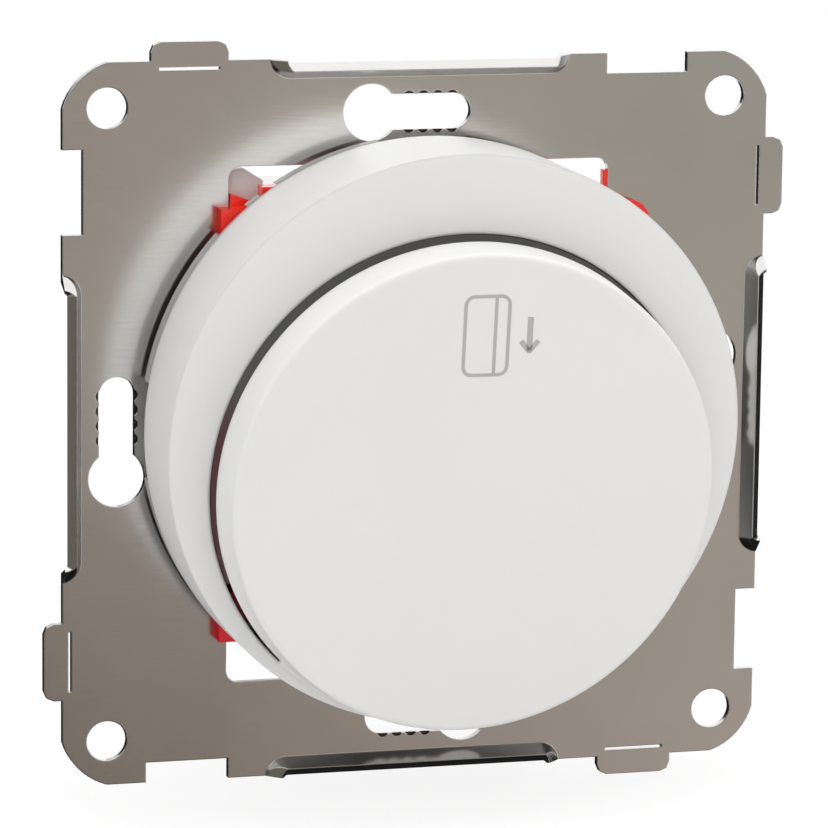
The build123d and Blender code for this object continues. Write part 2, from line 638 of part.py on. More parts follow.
# Release keys, pushed in from the back to free a wire
key = block(
    TERMINAL_X - KEY_HALF_X, TERMINAL_X + KEY_HALF_X, KEY_TIP_Y, HOUSING_DEPTH + KEY_OUT,
    KEY_Z - KEY_HALF_Z, KEY_Z + KEY_HALF_Z
)
key += block(
    TERMINAL_X - KEY_HALF_X - KEY_WING, TERMINAL_X + KEY_HALF_X + KEY_WING,
    in_rear - FIT_GAP - 1.0, in_rear - FIT_GAP,
    KEY_Z - KEY_HALF_Z, KEY_Z + KEY_HALF_Z
)
for node, shape in zip(("release_key_right", "release_key_left"), mirrored(key)):
    save(shape, node)
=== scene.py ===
import math

import bmesh
import bpy
from mathutils import Matrix, Vector


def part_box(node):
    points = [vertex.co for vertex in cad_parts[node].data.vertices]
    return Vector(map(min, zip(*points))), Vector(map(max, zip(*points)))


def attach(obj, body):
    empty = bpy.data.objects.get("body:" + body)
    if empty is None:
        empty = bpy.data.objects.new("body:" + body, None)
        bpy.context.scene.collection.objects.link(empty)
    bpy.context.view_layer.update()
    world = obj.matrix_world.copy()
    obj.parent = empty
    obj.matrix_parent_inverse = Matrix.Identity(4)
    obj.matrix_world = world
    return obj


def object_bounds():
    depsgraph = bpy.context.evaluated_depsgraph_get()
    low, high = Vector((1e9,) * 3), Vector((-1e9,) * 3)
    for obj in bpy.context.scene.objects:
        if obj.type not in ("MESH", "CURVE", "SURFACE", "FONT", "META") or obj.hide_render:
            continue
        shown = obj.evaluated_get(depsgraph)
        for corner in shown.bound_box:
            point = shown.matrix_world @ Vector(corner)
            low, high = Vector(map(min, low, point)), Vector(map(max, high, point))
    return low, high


bl_info = {
    "name": "Key Card Switch",
    "version": (1, 0, 0),
    "blender": (4, 5, 0),
    "location": "3D View > Sidebar > Key Card Switch",
    "description": "Finishes a hotel key card switch around its CAD frame and lights it",
    "category": "Object",
}

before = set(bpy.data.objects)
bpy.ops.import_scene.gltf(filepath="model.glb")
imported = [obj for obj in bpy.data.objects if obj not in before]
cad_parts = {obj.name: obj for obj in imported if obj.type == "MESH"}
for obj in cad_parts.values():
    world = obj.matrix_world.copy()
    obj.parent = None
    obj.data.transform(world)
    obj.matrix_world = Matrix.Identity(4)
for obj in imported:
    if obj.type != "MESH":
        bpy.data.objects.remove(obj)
CAD_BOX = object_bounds()
MM = 0.001

# Sizes in millimetres, shared with the solids
PLATE_T = 0.8
DISC_FRONT = 21.7
DISC_SLOPE = 0.135
SCALLOP_FLOOR = -0.5
ENTRY_X = 11.0
ENTRY_HALF_PITCH = 2.2
ENTRY_Z = -15.6
HOUSING_HALF_X = 18.6

# Grip ribs on the insert's sides, in millimetres
GRIP_Y = (9.0, 20.5)
GRIP_ROWS, GRIP_START, GRIP_PITCH = 7, -9.0, 3.0
GRIP_HALF, GRIP_RISE, GRIP_SINK, GRIP_ROUND = 0.45, 0.45, 0.1, 0.2

# Funnels, ejector rings and rails in millimetres. Outlines run by radius and rise above the insert's back
FUNNEL_OUTLINE = ((1.62, -0.02), (1.62, 0.12), (1.85, 0.34), (2.06, 0.36), (2.16, 0.28), (2.18, -0.02))
EJECTOR_OUTLINE = ((1.35, -0.02), (1.35, 0.05), (1.5, 0.09), (1.65, 0.05), (1.65, -0.02))
EJECTOR_X, EJECTOR_Z = (-14.0, 14.0), (1.0, 16.0)
RING_STEPS = 32
RAIL_Z = (-19.0, 19.2)
RAIL_HALF_X, RAIL_HALF_Z = 12.0, 0.3
RAIL_SINK, RAIL_RISE, RAIL_ROUND = 0.05, 0.25, 0.14

# Printed symbol in millimetres, on the disc's face
CARD_LEFT, CARD_RIGHT = -2.15, 2.45
CARD_LOW, CARD_HIGH = 7.9, 15.85
CARD_CORNER = 1.0
CORNER_STEPS = 6
STRIPE_X = 1.0
ARROW_X = 4.39
ARROW_LOW, ARROW_HIGH = 10.35, 13.56
ARROW_LINE = 0.57
BARB_LOW, BARB_HIGH = 10.15, 11.25
BARB_ENDS = ((3.55, 4.45), (5.25, 4.33))
BARB_LINE = 0.5
FILM_SINK = 0.01

# Camera of the photograph, in degrees, millimetres and lens millimetres
CAMERA_TURN = (-15.547, 10.436, 0.699)
CAMERA_AWAY = 494.911
CAMERA_AIM = -0.8
CAMERA_LENS, CAMERA_SENSOR = 218.96, 36.0
CAMERA_SHIFT = (-0.0039, 0.0031)

# Stage: half widths in metres, the floor's gap in millimetres
CARD_HALF = 0.5
FLOOR_HALF = 4.0
FLOOR_GAP = 0.02
FLOOR_WHITE = 0.85
WORLD_STRENGTH = 0.8


# Settings
class KeyCardSizes(bpy.types.PropertyGroup):
    symbol_line: bpy.props.FloatProperty(
        name="Symbol line", description="Line width of the printed card symbol", default=0.33 * MM,
        unit="LENGTH",
    )
    symbol_lift: bpy.props.FloatProperty(
        name="Symbol film", description="Thickness of the printed film", default=0.02 * MM, unit="LENGTH"
    )


class KeyCardColours(bpy.types.PropertyGroup):
    steel: bpy.props.FloatVectorProperty(
        name="Steel", description="Nickel-look sheet", default=(0.90, 0.89, 0.87), subtype="COLOR"
    )
    white: bpy.props.FloatVectorProperty(
        name="White plastic", description="Cover", default=(0.645, 0.645, 0.635), subtype="COLOR"
    )
    red: bpy.props.FloatVectorProperty(
        name="Clear red", description="Locking frame", default=(0.93, 0.028, 0.016), subtype="COLOR"
    )
    # Painted shade: darker red blended in on the locking frame low down
    red_painted_shade: bpy.props.FloatVectorProperty(
        name="Shaded red", description="Locking frame low down", default=(0.8, 0.02, 0.035), subtype="COLOR"
    )
    # Painted shade: the cover's rear collar is coloured grey for the shade it lies in
    grey: bpy.props.FloatVectorProperty(
        name="Collar painted shade", description="Collar", default=(0.40, 0.40, 0.39), subtype="COLOR"
    )
    dark: bpy.props.FloatVectorProperty(
        name="Guide black", description="Card guide", default=(0.16, 0.16, 0.156), subtype="COLOR"
    )
    # Painted reflection: wine red of the frame blended in low on the guide
    guide_painted_reflection: bpy.props.FloatVectorProperty(
        name="Guide low tint", description="Wine red glow of the guide", default=(0.16, 0.07, 0.08),
        subtype="COLOR",
    )
    print_grey: bpy.props.FloatVectorProperty(
        name="Print grey", description="Card symbol", default=(0.37, 0.37, 0.37), subtype="COLOR"
    )
    floor: bpy.props.FloatVectorProperty(
        name="Floor", description="Pale floor", default=(0.95, 0.95, 0.95), subtype="COLOR"
    )


# Materials
def new_group(name, inputs, outputs):
    """Empty shader node group with float or colour sockets."""
    group = bpy.data.node_groups.new(name, "ShaderNodeTree")
    for socket, kind, value in inputs:
        made = group.interface.new_socket(name=socket, in_out="INPUT", socket_type=kind)
        made.default_value = value
    for socket, kind in outputs:
        group.interface.new_socket(name=socket, in_out="OUTPUT", socket_type=kind)
    nodes = group.nodes
    return group, nodes, group.links, nodes.new("NodeGroupInput"), nodes.new("NodeGroupOutput")


def noise(nodes, links, vector, scale, detail):
    """Noise of this scale and detail, read at a place."""
    made = nodes.new("ShaderNodeTexNoise")
    made.inputs["Scale"].default_value = scale
    made.inputs["Detail"].default_value = detail
    made.inputs["Roughness"].default_value = 0.55
    links.new(vector, made.inputs["Vector"])
    return made.outputs["Fac"]


def span(nodes, links, value, low, high):
    """Noise, which stays near 0.3 to 0.7, spread from low to high."""
    made = nodes.new("ShaderNodeMapRange")
    made.inputs["To Min"].default_value = low
    made.inputs["To Max"].default_value = high
    made.inputs["From Min"].default_value = 0.3
    made.inputs["From Max"].default_value = 0.7
    links.new(value, made.inputs["Value"])
    return made.outputs["Result"]


def tinted(nodes, links, colour, factor):
    """Colour times a varying factor."""
    made = nodes.new("ShaderNodeVectorMath")
    made.operation = "SCALE"
    links.new(colour, made.inputs[0])
    links.new(factor, made.inputs["Scale"])
    return made.outputs["Vector"]


def moulded_group():
    """Moulded plastic: flow marks in colour, fine spark-eroded skin in roughness and height."""
    group, nodes, links, source, sink = new_group(
        "Moulded plastic",
        [("Colour", "NodeSocketColor", (0.8, 0.8, 0.8, 1)), ("Roughness", "NodeSocketFloat", 0.4),
         ("Grain", "NodeSocketFloat", 9000.0)],
        [("Colour", "NodeSocketColor"), ("Roughness", "NodeSocketFloat"), ("Height", "NodeSocketFloat")],
    )
    place = nodes.new("ShaderNodeTexCoord").outputs["Object"]
    flow = noise(nodes, links, place, 45.0, 3.0)
    skin = noise(nodes, links, place, 9000.0, 2.0)
    links.new(source.outputs["Grain"], skin.node.inputs["Scale"])
    links.new(tinted(nodes, links, source.outputs["Colour"], span(nodes, links, flow, 0.985, 1.01)),
              sink.inputs["Colour"])
    vary = nodes.new("ShaderNodeMath")
    vary.operation = "MULTIPLY"
    links.new(source.outputs["Roughness"], vary.inputs[0])
    links.new(span(nodes, links, skin, 0.9, 1.12), vary.inputs[1])
    links.new(vary.outputs[0], sink.inputs["Roughness"])
    links.new(skin, sink.inputs["Height"])
    return group


def rolled_group():
    """Rolled and plated sheet: long fine streaks, faint stains and a soft grain."""
    group, nodes, links, source, sink = new_group(
        "Rolled sheet",
        [("Colour", "NodeSocketColor", (0.8, 0.78, 0.75, 1)), ("Roughness", "NodeSocketFloat", 0.2)],
        [("Colour", "NodeSocketColor"), ("Roughness", "NodeSocketFloat"), ("Height", "NodeSocketFloat")],
    )
    place = nodes.new("ShaderNodeTexCoord").outputs["Object"]
    stretch = nodes.new("ShaderNodeMapping")
    stretch.inputs["Scale"].default_value = (0.06, 1.0, 1.0)
    links.new(place, stretch.inputs["Vector"])
    streak = noise(nodes, links, stretch.outputs["Vector"], 5200.0, 5.0)
    stain = noise(nodes, links, place, 60.0, 4.0)
    links.new(tinted(nodes, links, source.outputs["Colour"], span(nodes, links, stain, 0.95, 1.03)),
              sink.inputs["Colour"])
    vary = nodes.new("ShaderNodeMath")
    vary.operation = "MULTIPLY"
    links.new(source.outputs["Roughness"], vary.inputs[0])
    links.new(span(nodes, links, streak, 0.85, 1.2), vary.inputs[1])
    links.new(vary.outputs[0], sink.inputs["Roughness"])
    links.new(streak, sink.inputs["Height"])
    return group


def edge_group():
    """How sharp the surface turns here: 1 on outer edges, 0 on flats."""
    group, nodes, links, source, sink = new_group(
        "Edge mask", [("Width", "NodeSocketFloat", 0.0002)], [("Mask", "NodeSocketFloat")]
    )
    soft = nodes.new("ShaderNodeBevel")
    soft.samples = 4
    links.new(source.outputs["Width"], soft.inputs["Radius"])
    flat = nodes.new("ShaderNodeNewGeometry")
    dot = nodes.new("ShaderNodeVectorMath")
    dot.operation = "DOT_PRODUCT"
    links.new(soft.outputs["Normal"], dot.inputs[0])
    links.new(flat.outputs["True Normal"], dot.inputs[1])
    made = nodes.new("ShaderNodeMapRange")
    made.inputs["From Min"].default_value = 0.98
    made.inputs["From Max"].default_value = 0.75
    links.new(dot.outputs["Value"], made.inputs["Value"])
    links.new(made.outputs["Result"], sink.inputs["Mask"])
    return group


def scallop_shade_group():
    """Painted shade on the floor of the shallow scallops pressed beside the keyholes."""
    group, nodes, links, source, sink = new_group(
        "Scallop painted shade",
        [("Colour", "NodeSocketColor", (0.8, 0.78, 0.75, 1)), ("Level", "NodeSocketFloat", 0.0),
         ("Shade", "NodeSocketFloat", 0.1)],
        [("Colour", "NodeSocketColor")],
    )
    place = nodes.new("ShaderNodeTexCoord")
    split = nodes.new("ShaderNodeSeparateXYZ")
    links.new(place.outputs["Object"], split.inputs[0])
    away = nodes.new("ShaderNodeMath")
    away.operation = "COMPARE"
    away.inputs[2].default_value = 0.02 * MM
    links.new(split.outputs["Y"], away.inputs[0])
    links.new(source.outputs["Level"], away.inputs[1])
    factor = nodes.new("ShaderNodeMapRange")
    factor.inputs["To Min"].default_value = 1.0
    links.new(away.outputs[0], factor.inputs["Value"])
    links.new(source.outputs["Shade"], factor.inputs["To Max"])
    links.new(tinted(nodes, links, source.outputs["Colour"], factor.outputs["Result"]), sink.inputs["Colour"])
    return group


def low_painted_light_group():
    """Painted light low down on the piece: a second colour, blended in below 7 mm and full below 1 mm."""
    group, nodes, links, source, sink = new_group(
        "Low painted light",
        [("Colour", "NodeSocketColor", (0, 0, 0, 1)),
         ("Low colour", "NodeSocketColor", (0.1, 0.02, 0.02, 1))],
        [("Colour", "NodeSocketColor")],
    )
    place = nodes.new("ShaderNodeTexCoord")
    split = nodes.new("ShaderNodeSeparateXYZ")
    links.new(place.outputs["Object"], split.inputs[0])
    mask = nodes.new("ShaderNodeMapRange")
    mask.inputs["From Min"].default_value = 7.0 * MM
    mask.inputs["From Max"].default_value = 1.0 * MM
    links.new(split.outputs["Z"], mask.inputs["Value"])
    mixed = nodes.new("ShaderNodeMix")
    mixed.data_type = "RGBA"
    links.new(mask.outputs["Result"], mixed.inputs["Factor"])
    links.new(source.outputs["Colour"], mixed.inputs["A"])
    links.new(source.outputs["Low colour"], mixed.inputs["B"])
    links.new(mixed.outputs["Result"], sink.inputs["Colour"])
    return group


GROUPS = {}


def surface(name, colour, roughness, group="moulded", metallic=0.0, bump=0.02, grain=9000.0, edge=1.08,
            soft=0.00015, low_painted_light=None, stamped=None, reflection_painted_shade=None, **fixed):
    """Material with one shared surface group, softened edges with a painted highlight, optional painted light
    and shade, and its own fixed shader values.
    """
    made = bpy.data.materials.new(name)
    made.use_nodes = True
    nodes = made.node_tree.nodes
    links = made.node_tree.links
    shader = nodes["Principled BSDF"]
    look = nodes.new("ShaderNodeGroup")
    look.node_tree = GROUPS[group]
    look.inputs["Colour"].default_value = (*colour, 1)
    look.inputs["Roughness"].default_value = roughness
    if "Grain" in look.inputs:
        look.inputs["Grain"].default_value = grain
    # Painted highlight: base colour made lighter on outer edges by the edge factor
    dressing = nodes.new("ShaderNodeGroup")
    dressing.node_tree = GROUPS["edge"]
    dressing.inputs["Width"].default_value = soft * 1.5
    lift = nodes.new("ShaderNodeMapRange")
    lift.inputs["To Min"].default_value = 1.0
    lift.inputs["To Max"].default_value = edge
    links.new(dressing.outputs["Mask"], lift.inputs["Value"])
    body = look.outputs["Colour"]
    # Painted light low down on the piece, from a second colour
    if low_painted_light:
        tint = nodes.new("ShaderNodeGroup")
        tint.node_tree = GROUPS["low tint"]
        tint.inputs["Low colour"].default_value = (*low_painted_light, 1)
        links.new(body, tint.inputs["Colour"])
        body = tint.outputs["Colour"]
    # Painted shade: the scallop floors get a darker colour
    if stamped:
        floor = nodes.new("ShaderNodeGroup")
        floor.node_tree = GROUPS["stamped"]
        floor.inputs["Level"].default_value = stamped
        links.new(body, floor.inputs["Colour"])
        body = floor.outputs["Colour"]
    if reflection_painted_shade:
        # Painted shade: sheet seen in a reflection of the sheet gets a darker colour
        path = nodes.new("ShaderNodeLightPath")
        dim = nodes.new("ShaderNodeMapRange")
        dim.inputs["To Min"].default_value = 1.0
        dim.inputs["To Max"].default_value = reflection_painted_shade
        links.new(path.outputs["Glossy Depth"], dim.inputs["Value"])
        body = tinted(nodes, links, body, dim.outputs["Result"])
    links.new(tinted(nodes, links, body, lift.outputs["Result"]), shader.inputs["Base Color"])
    links.new(look.outputs["Roughness"], shader.inputs["Roughness"])
    round_edge = nodes.new("ShaderNodeBevel")
    round_edge.samples = 6
    round_edge.inputs["Radius"].default_value = soft
    relief = nodes.new("ShaderNodeBump")
    relief.inputs["Strength"].default_value = bump
    relief.inputs["Distance"].default_value = 0.0001
    links.new(look.outputs["Height"], relief.inputs["Height"])
    links.new(round_edge.outputs["Normal"], relief.inputs["Normal"])
    links.new(relief.outputs["Normal"], shader.inputs["Normal"])
    shader.inputs["Metallic"].default_value = metallic
    for socket, value in fixed.items():
        shader.inputs[socket.replace("_", " ")].default_value = value
    return made


def dress(node, material):
    """Gives a CAD node its finished material."""
    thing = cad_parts[node]
    if not thing.data.materials:
        thing.data.materials.append(material)
    for index in range(len(thing.data.materials)):
        thing.data.materials[index] = material


def object_from(name, bm):
    """Object in the scene from a bmesh."""
    data = bpy.data.meshes.new(name)
    bm.to_mesh(data)
    bm.free()
    thing = bpy.data.objects.new(name, data)
    bpy.context.scene.collection.objects.link(thing)
    return thing


def mesh_piece(name, bm, material, body, smooth=False):
    """Finished piece from a bmesh, riding on a body."""
    bmesh.ops.recalc_face_normals(bm, faces=bm.faces)
    thing = object_from(name, bm)
    thing.data.materials.append(material)
    for face in thing.data.polygons:
        face.use_smooth = smooth
    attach(thing, body)


class KEYCARD_OT_materials(bpy.types.Operator):
    """Make the surfaces and put them on every carried-over node"""

    bl_idname = "keycard.materials"
    bl_label = "Surfaces"

    def execute(self, context):
        tint = context.scene.keycard_colours
        GROUPS["moulded"] = moulded_group()
        GROUPS["rolled"] = rolled_group()
        GROUPS["edge"] = edge_group()
        GROUPS["low tint"] = low_painted_light_group()
        GROUPS["stamped"] = scallop_shade_group()
        # Steel: painted highlight on its outer edges, painted shade on its scallop floors and where it is
        # seen in a reflection
        steel = surface("Nickel sheet", tint.steel, 0.19, "rolled", metallic=1.0, bump=0.02, edge=1.15,
                        stamped=SCALLOP_FLOOR * MM, reflection_painted_shade=0.38)
        white = surface("White cover", tint.white, 0.42, bump=0.012, soft=0.0005, edge=1.01)
        # Painted shade: the red turns darker low down
        red = surface("Clear red", tint.red, 0.12, bump=0.01, low_painted_light=tint.red_painted_shade, Transmission_Weight=0.12,
                      IOR=1.49, Coat_Weight=0.5)
        # Painted shade: the collar grey stands in for the shade behind the cover
        grey = surface("Collar painted shade", tint.grey, 0.42, bump=0.02)
        # Painted reflection: the guide turns wine red low down
        dark = surface("Guide black", tint.dark, 0.35, bump=0.02, low_painted_light=tint.guide_painted_reflection)
        housing = surface("Insert white", (0.60, 0.60, 0.585), 0.45, bump=0.04, grain=6000.0)
        acetal = surface("Natural acetal", (0.76, 0.76, 0.73), 0.38, bump=0.02)
        pin = surface("Ground pin", (0.62, 0.62, 0.62), 0.14, "rolled", metallic=1.0, bump=0.03)
        spring = surface("Spring steel", (0.5, 0.49, 0.47), 0.25, "rolled", metallic=1.0, bump=0.04)
        brass = surface("Stamped brass", (0.75, 0.53, 0.22), 0.24, "rolled", metallic=1.0, bump=0.05)
        silver = surface("Contact silver", (0.85, 0.84, 0.8), 0.22, "rolled", metallic=1.0, bump=0.03)
        keys = surface("Key grey", (0.16, 0.17, 0.18), 0.4, bump=0.03)
        dressing = {
            "mounting_plate": steel, "lock_frame": red, "cover_collar": grey, "card_cover": white,
            "card_guide": dark, "card_lever": acetal, "lever_pin": pin, "mechanism_housing": housing,
            "mechanism_cap": housing, "switch_plunger": acetal, "plunger_spring": spring,
            "bridge_spring": spring, "contact_bridge": brass, "bridge_tips": silver, "fixed_tips": silver,
            "contact_strip_left": brass, "contact_strip_right": brass, "clamp_spring_left": spring,
            "clamp_spring_right": spring, "release_key_left": keys, "release_key_right": keys,
        }
        missing = set(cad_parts) - set(dressing)
        if missing:
            raise RuntimeError(f"no surface for {sorted(missing)}")
        for node, material in dressing.items():
            dress(node, material)
        return {"FINISHED"}


# Stage
def shade(nodes, links, value, stops):
    """Colours at these places along a value."""
    ramp = nodes.new("ShaderNodeValToRGB")
    marks = ramp.color_ramp.elements
    while len(marks) < len(stops):
        marks.new(0.5)
    for mark, (place, colour) in zip(marks, stops):
        mark.position = place
        mark.color = (*colour, 1)
    links.new(value, ramp.inputs[0])
    return ramp.outputs[0]


def mix_shaders(nodes, links, factor, first, second):
    """Blend of two shaders by a factor."""
    mixed = nodes.new("ShaderNodeMixShader")
    links.new(factor, mixed.inputs[0])
    links.new(first.outputs[0], mixed.inputs[1])
    links.new(second.outputs[0], mixed.inputs[2])
    return mixed.outputs[0]


def card_glow(name, left, right, blend):
    """Glow of a card: two runs of shades up it, blended across it between two shares of its width."""
    made = bpy.data.materials.new(name)
    made.use_nodes = True
    nodes, links = made.node_tree.nodes, made.node_tree.links
    nodes.remove(nodes["Principled BSDF"])
    glow = nodes.new("ShaderNodeEmission")
    place = nodes.new("ShaderNodeTexCoord")
    split = nodes.new("ShaderNodeSeparateXYZ")
    links.new(place.outputs["Object"], split.inputs[0])
    upwards = nodes.new("ShaderNodeMath")
    upwards.inputs[1].default_value = CARD_HALF
    links.new(split.outputs["Y"], upwards.inputs[0])
    across = nodes.new("ShaderNodeMapRange")
    across.inputs["From Min"].default_value = blend[0] - CARD_HALF
    across.inputs["From Max"].default_value = blend[1] - CARD_HALF
    links.new(split.outputs["X"], across.inputs["Value"])
    both = nodes.new("ShaderNodeMix")
    both.data_type = "RGBA"
    links.new(across.outputs["Result"], both.inputs["Factor"])
    links.new(shade(nodes, links, upwards.outputs[0], left), both.inputs["A"])
    links.new(shade(nodes, links, upwards.outputs[0], right), both.inputs["B"])
    links.new(both.outputs["Result"], glow.inputs["Color"])
    links.new(glow.outputs[0], nodes["Material Output"].inputs["Surface"])
    return made


def card(name, centre, size, turn, left, right, blend=(0.0, 1.0)):
    """Glowing card that only shows in reflections."""
    bm = bmesh.new()
    bmesh.ops.create_grid(bm, x_segments=1, y_segments=1, size=CARD_HALF)
    thing = object_from(name, bm)
    thing.matrix_world = Matrix.Translation(centre) @ turn @ Matrix.Diagonal((*size, 1, 1))
    thing.data.materials.append(card_glow(name, left, right, blend))
    thing.visible_camera = False
    thing.visible_diffuse = False
    thing.visible_shadow = False
    thing.visible_transmission = False


def area(name, spot, size, power):
    """Square lamp aimed at the object. Mirrors see the cards and the white surroundings instead of it."""
    light = bpy.data.lights.new(name, "AREA")
    light.size = size
    light.energy = power
    thing = bpy.data.objects.new(name, light)
    bpy.context.scene.collection.objects.link(thing)
    thing.location = spot
    thing.rotation_euler = (-Vector(spot)).to_track_quat("-Z", "Y").to_euler()
    thing.visible_camera = False
    thing.visible_glossy = False


def photo_camera(scene):
    """Camera of the photograph: turned, raised and rolled by its fitted angles."""
    azimuth, height, roll = (math.radians(angle) for angle in CAMERA_TURN)
    aim = Vector((0, CAMERA_AIM * MM, 0))
    level = math.cos(height)
    away = Vector((math.sin(azimuth) * level, -math.cos(azimuth) * level, math.sin(height)))
    spot = aim + away * CAMERA_AWAY * MM
    right = (-away).cross(Vector((0, 0, 1))).normalized()
    up = right.cross(-away)
    across = right * math.cos(roll) + up * math.sin(roll)
    above = up * math.cos(roll) - right * math.sin(roll)
    lens = bpy.data.cameras.new("Camera")
    lens.sensor_width = CAMERA_SENSOR
    lens.lens = CAMERA_LENS
    lens.shift_x, lens.shift_y = CAMERA_SHIFT
    lens.clip_start = 0.01
    camera = bpy.data.objects.new("Camera", lens)
    turn = Matrix((across, above, away)).transposed().to_4x4()
    camera.matrix_world = Matrix.Translation(spot) @ turn
    scene.collection.objects.link(camera)
    scene.camera = camera


def pale_floor(colour):
    """Pale floor with the object's shadow, which the camera sees most of as plain white."""
    bm = bmesh.new()
    bmesh.ops.create_grid(bm, x_segments=1, y_segments=1, size=FLOOR_HALF)
    bmesh.ops.translate(bm, verts=bm.verts, vec=(0, 0, CAD_BOX[0][2] - FLOOR_GAP * MM))
    floor = object_from("Floor", bm)
    pale = bpy.data.materials.new("Floor")
    pale.use_nodes = True
    nodes, links = pale.node_tree.nodes, pale.node_tree.links
    matt = nodes["Principled BSDF"]
    matt.inputs["Base Color"].default_value = (*colour, 1)
    matt.inputs["Roughness"].default_value = 0.9
    plain = nodes.new("ShaderNodeEmission")
    plain.inputs["Color"].default_value = (1, 1, 1, 1)
    seen = nodes.new("ShaderNodeLightPath")
    share = nodes.new("ShaderNodeMath")
    share.operation = "MULTIPLY"
    share.inputs[1].default_value = FLOOR_WHITE
    links.new(seen.outputs["Is Camera Ray"], share.inputs[0])
    mixed = mix_shaders(nodes, links, share.outputs[0], matt, plain)
    links.new(mixed, nodes["Material Output"].inputs["Surface"])
    floor.data.materials.append(pale)
    floor.visible_glossy = False


def studio_world():
    """Surroundings: white to the camera and in reflections, softer as a light."""
    world = bpy.data.worlds.new("Studio")
    world.use_nodes = True
    nodes, links = world.node_tree.nodes, world.node_tree.links
    soft = nodes["Background"]
    soft.inputs["Color"].default_value = (1.0, 0.99, 0.975, 1)
    soft.inputs["Strength"].default_value = WORLD_STRENGTH
    white = nodes.new("ShaderNodeBackground")
    white.inputs["Color"].default_value = (1, 1, 1, 1)
    path = nodes.new("ShaderNodeLightPath")
    either = nodes.new("ShaderNodeMath")
    either.operation = "MAXIMUM"
    links.new(path.outputs["Is Camera Ray"], either.inputs[0])
    links.new(path.outputs["Is Glossy Ray"], either.inputs[1])
    mixed = mix_shaders(nodes, links, either.outputs[0], soft, white)
    links.new(mixed, nodes["World Output"].inputs["Surface"])
    return world


def mirror_cards():
    """Cards that give the steel its shades."""
    upright = Matrix.Rotation(math.radians(90), 4, "X")
    sideways = Matrix.Rotation(math.radians(90), 4, "Z") @ upright
    front_left = (
        (0.0, (0.05, 0.04, 0.035)), (0.41, (0.143, 0.116, 0.095)), (0.5, (0.362, 0.325, 0.292)),
        (0.61, (0.325, 0.285, 0.247)), (1.0, (0.45, 0.41, 0.36)),
    )
    front_right = (
        (0.0, (0.9, 0.88, 0.85)), (0.2, (0.46, 0.41, 0.36)), (0.39, (0.402, 0.347, 0.308)),
        (0.61, (0.334, 0.323, 0.288)), (1.0, (0.45, 0.41, 0.36)),
    )
    brown = ((0.0, (0.05, 0.042, 0.038)), (1.0, (0.07, 0.06, 0.055)))
    olive = ((0.0, (0.13, 0.122, 0.098)), (1.0, (0.13, 0.122, 0.098)))
    black = ((0.0, (0.012, 0.012, 0.012)), (1.0, (0.012, 0.012, 0.012)))
    card("Front_card", (0.66, -0.8, -0.15), (1.26, 0.9), upright, front_left, front_right, (0.07, 0.23))
    card("Dark_card", (-0.6, -0.8, -0.15), (1.26, 0.9), upright, brown, brown)
    card("Back_card", (-0.62, 0.6, -0.2), (1.4, 0.7), upright, black, black)
    card("Left_card", (-1.3, -0.15, -0.2), (2.1, 1.1), sideways, olive, black, (0.55, 0.8))
    card("Right_card", (1.3, 0.52, -0.2), (1.35, 1.1), sideways, black, black)
    card("Low_card", (0, 0, -0.75), (2.4, 2.4), Matrix(), black, black)
    card("High_card", (0.3, -0.85, 1.35), (2.2, 2.1), upright, brown, brown)


def lamps():
    """Large soft light from above, with weak ones from the front and the left."""
    area("Top_light", (0.1, -0.15, 0.9), 0.9, 7.6)
    area("Front_light", (0.55, -0.9, 0.45), 0.7, 0.4)
    area("Left_light", (-0.9, -0.2, 0.25), 0.9, 1.4)


class KEYCARD_OT_stage(bpy.types.Operator):
    """Set the floor, the light and the camera of the photograph"""

    bl_idname = "keycard.stage"
    bl_label = "Stage"

    def execute(self, context):
        scene = context.scene
        photo_camera(scene)
        scene.view_settings.view_transform = "Standard"
        pale_floor(scene.keycard_colours.floor)
        scene.world = studio_world()
        mirror_cards()
        lamps()
        return {"FINISHED"}


# Printed symbol
def disc_point(x, z, lift):
    """Point above the disc's sloped face by this lift."""
    return Vector((x * MM, -(PLATE_T + DISC_FRONT + DISC_SLOPE * z) * MM - lift, z * MM))


def film(bm, outline, lift):
    """Thin printed patch on the disc, from its outline."""
    low = [bm.verts.new(disc_point(x, z, -FILM_SINK * MM)) for x, z in outline]
    face = bm.faces.new(low)
    made = bmesh.ops.extrude_face_region(bm, geom=[face])
    raised = [item for item in made["geom"] if isinstance(item, bmesh.types.BMVert)]
    bmesh.ops.translate(bm, verts=raised, vec=(0, -lift - FILM_SINK * MM, 0))


def line_patch(start, end, width):
    """Outline of a straight line of this width."""
    along = (Vector(end) - Vector(start)).normalized()
    side = Vector((-along.y, along.x)) * width / 2
    corners = (Vector(start) + side, Vector(start) - side, Vector(end) - side, Vector(end) + side)
    return [tuple(corner) for corner in corners]


def rounded_frame(x0, x1, z0, z1, radius):
    """Closed outline with rounded corners."""
    points = []
    spots = ((x1, z1, 0), (x0, z1, 90), (x0, z0, 180), (x1, z0, 270))
    for x, z, start in spots:
        cx = x - radius if x == x1 else x + radius
        cz = z - radius if z == z1 else z + radius
        for step in range(CORNER_STEPS + 1):
            angle = math.radians(start + 90 * step / CORNER_STEPS)
            points.append((cx + radius * math.cos(angle), cz + radius * math.sin(angle)))
    return points


